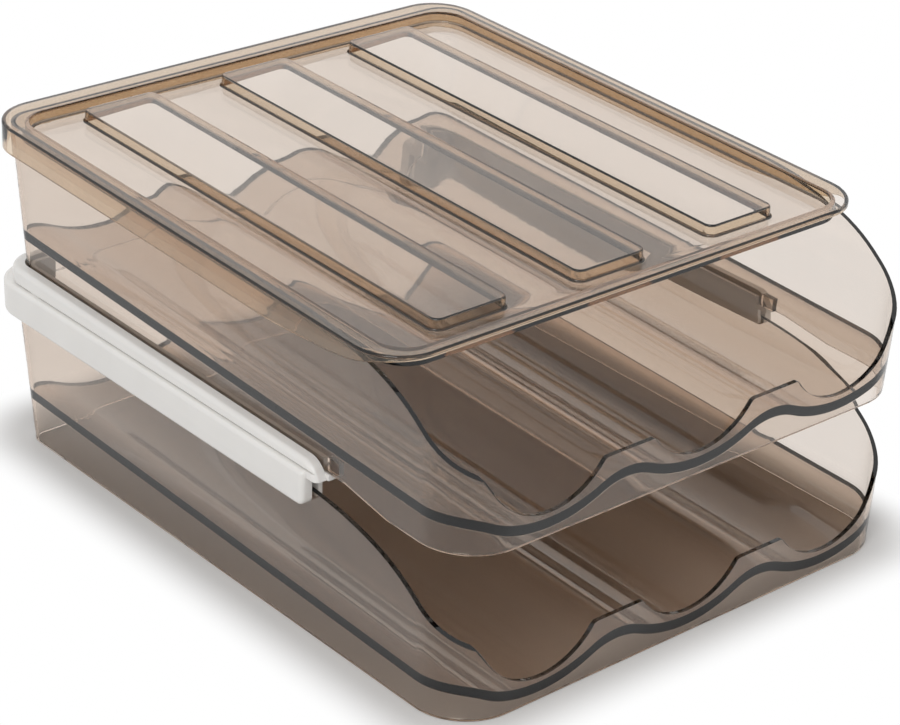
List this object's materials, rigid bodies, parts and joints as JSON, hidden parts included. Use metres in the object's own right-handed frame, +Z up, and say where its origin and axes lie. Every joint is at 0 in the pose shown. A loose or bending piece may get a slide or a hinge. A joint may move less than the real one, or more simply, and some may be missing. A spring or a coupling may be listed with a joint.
{
  "type": "egg keeper",
  "caption": "Two stacked open-front egg trays with sloping wavy floors, clip-on connector rails between them and a lift-off ribbed lid.",
  "frame": {"origin": "on the ground, below the middle of the keeper", "axes": "+Z up, X across the egg columns, -Y toward the open front"},
  "size_m": [0.2484, 0.3005, 0.1455],
  "materials": {
    "clear_tray": "gloss, tinted clear moulded plastic",
    "clear_lid": "gloss, tinted clear moulded plastic",
    "white_rail": "gloss white moulded plastic"
  },
  "bodies": {
    "base": {"lower_tray": "clear_tray", "left_rail": "white_rail", "right_rail": "white_rail"},
    "upper": {"upper_tray": "clear_tray"},
    "cover": {"lid": "clear_lid"}
  },
  "joints": [
    {"name": "upper_tray_lift", "type": "slide", "parent": "base", "child": "upper", "axis": [0, 0, 1], "range_m": [0, 0.15]},
    {"name": "lid_lift", "type": "slide", "parent": "upper", "child": "cover", "axis": [0, 0, 1], "range_m": [0, 0.12]}
  ]
}
